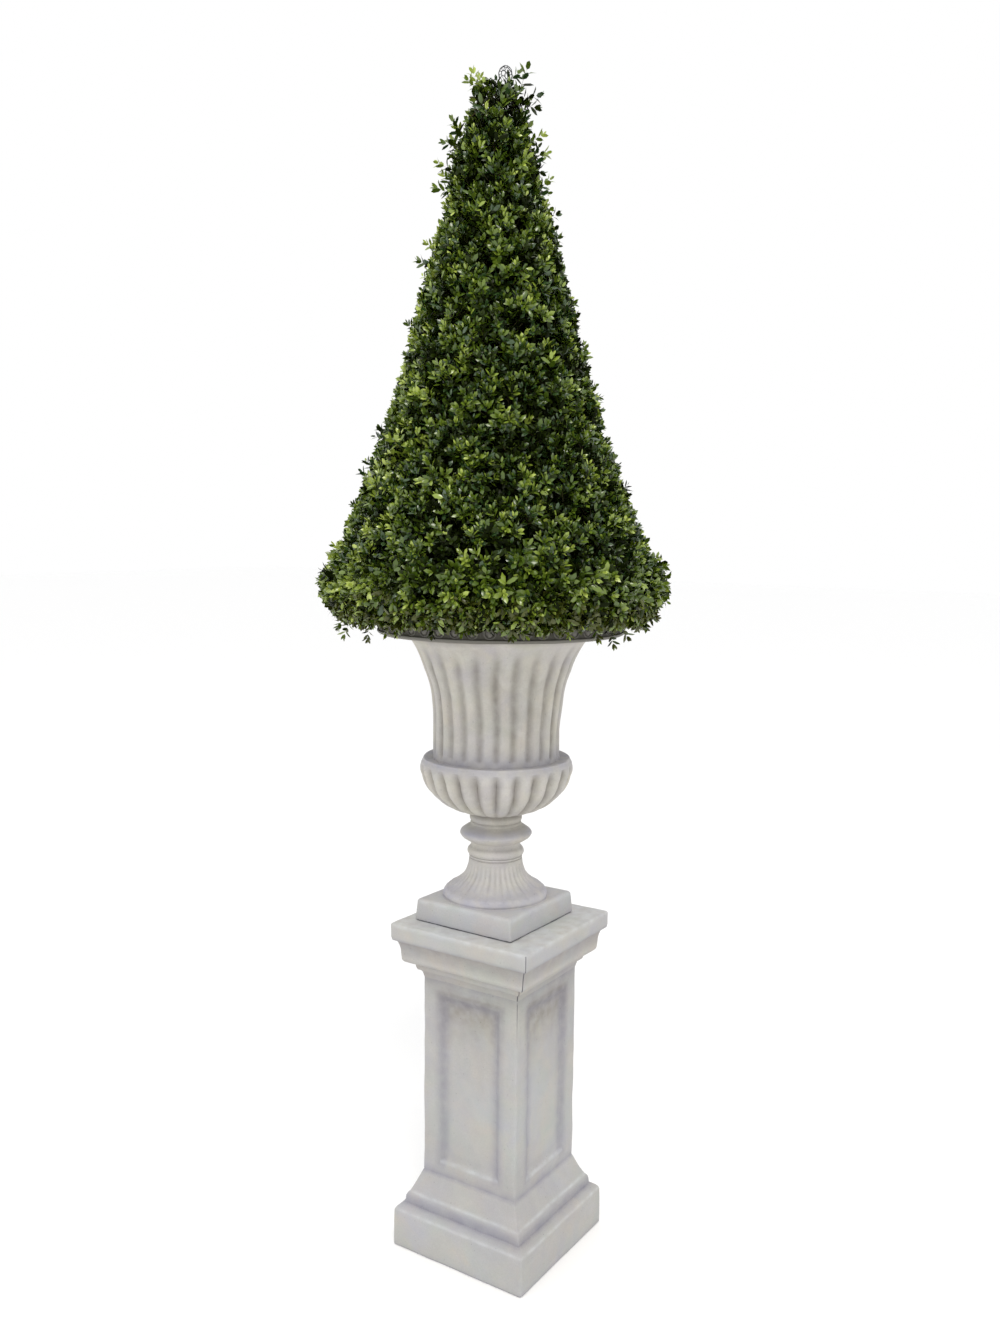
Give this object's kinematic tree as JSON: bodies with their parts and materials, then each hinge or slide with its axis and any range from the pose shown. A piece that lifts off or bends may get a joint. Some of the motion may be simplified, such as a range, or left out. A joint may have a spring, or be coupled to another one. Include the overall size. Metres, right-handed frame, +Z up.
{
  "type": "boxwood cone topiary in a pedestal urn",
  "caption": "Clipped boxwood cone with a flared skirt, growing from a fluted bell-shaped urn with a dark ornamented ring, on a square panelled pedestal.",
  "frame": {"origin": "middle of the pedestal's flat underside, on the ground", "axes": "+Z up; the pedestal's sides face +-X and +-Y"},
  "size_m": [0.7689, 0.7567, 2.6276],
  "materials": {
    "pedestal_stone": "matte cast stone, cool light grey with faint mottling",
    "urn_stone": "matte cast stone, warm light grey, darker in the grooves",
    "rim_slate": "matte dark slate grey",
    "filling": "dark potting bark, rough",
    "bark": "rough grey-brown bark",
    "foliage": "small glossy leaves, dark to lime green"
  },
  "bodies": {
    "root": {"plinth_block": "pedestal_stone", "base_moulding": "pedestal_stone", "pedestal_shaft": "pedestal_stone", "cornice": "pedestal_stone", "cap_slab": "pedestal_stone", "urn_foot_plate": "urn_stone", "urn_socle": "urn_stone", "urn_knop": "urn_stone", "urn_bowl": "urn_stone", "urn_collar": "urn_stone", "urn_bell": "urn_stone", "urn_rim": "rim_slate", "pot_filling": "filling", "stem": "bark", "foliage_skirt": "foliage", "foliage_middle": "foliage", "foliage_tip": "foliage"}
  },
  "joints": []
}
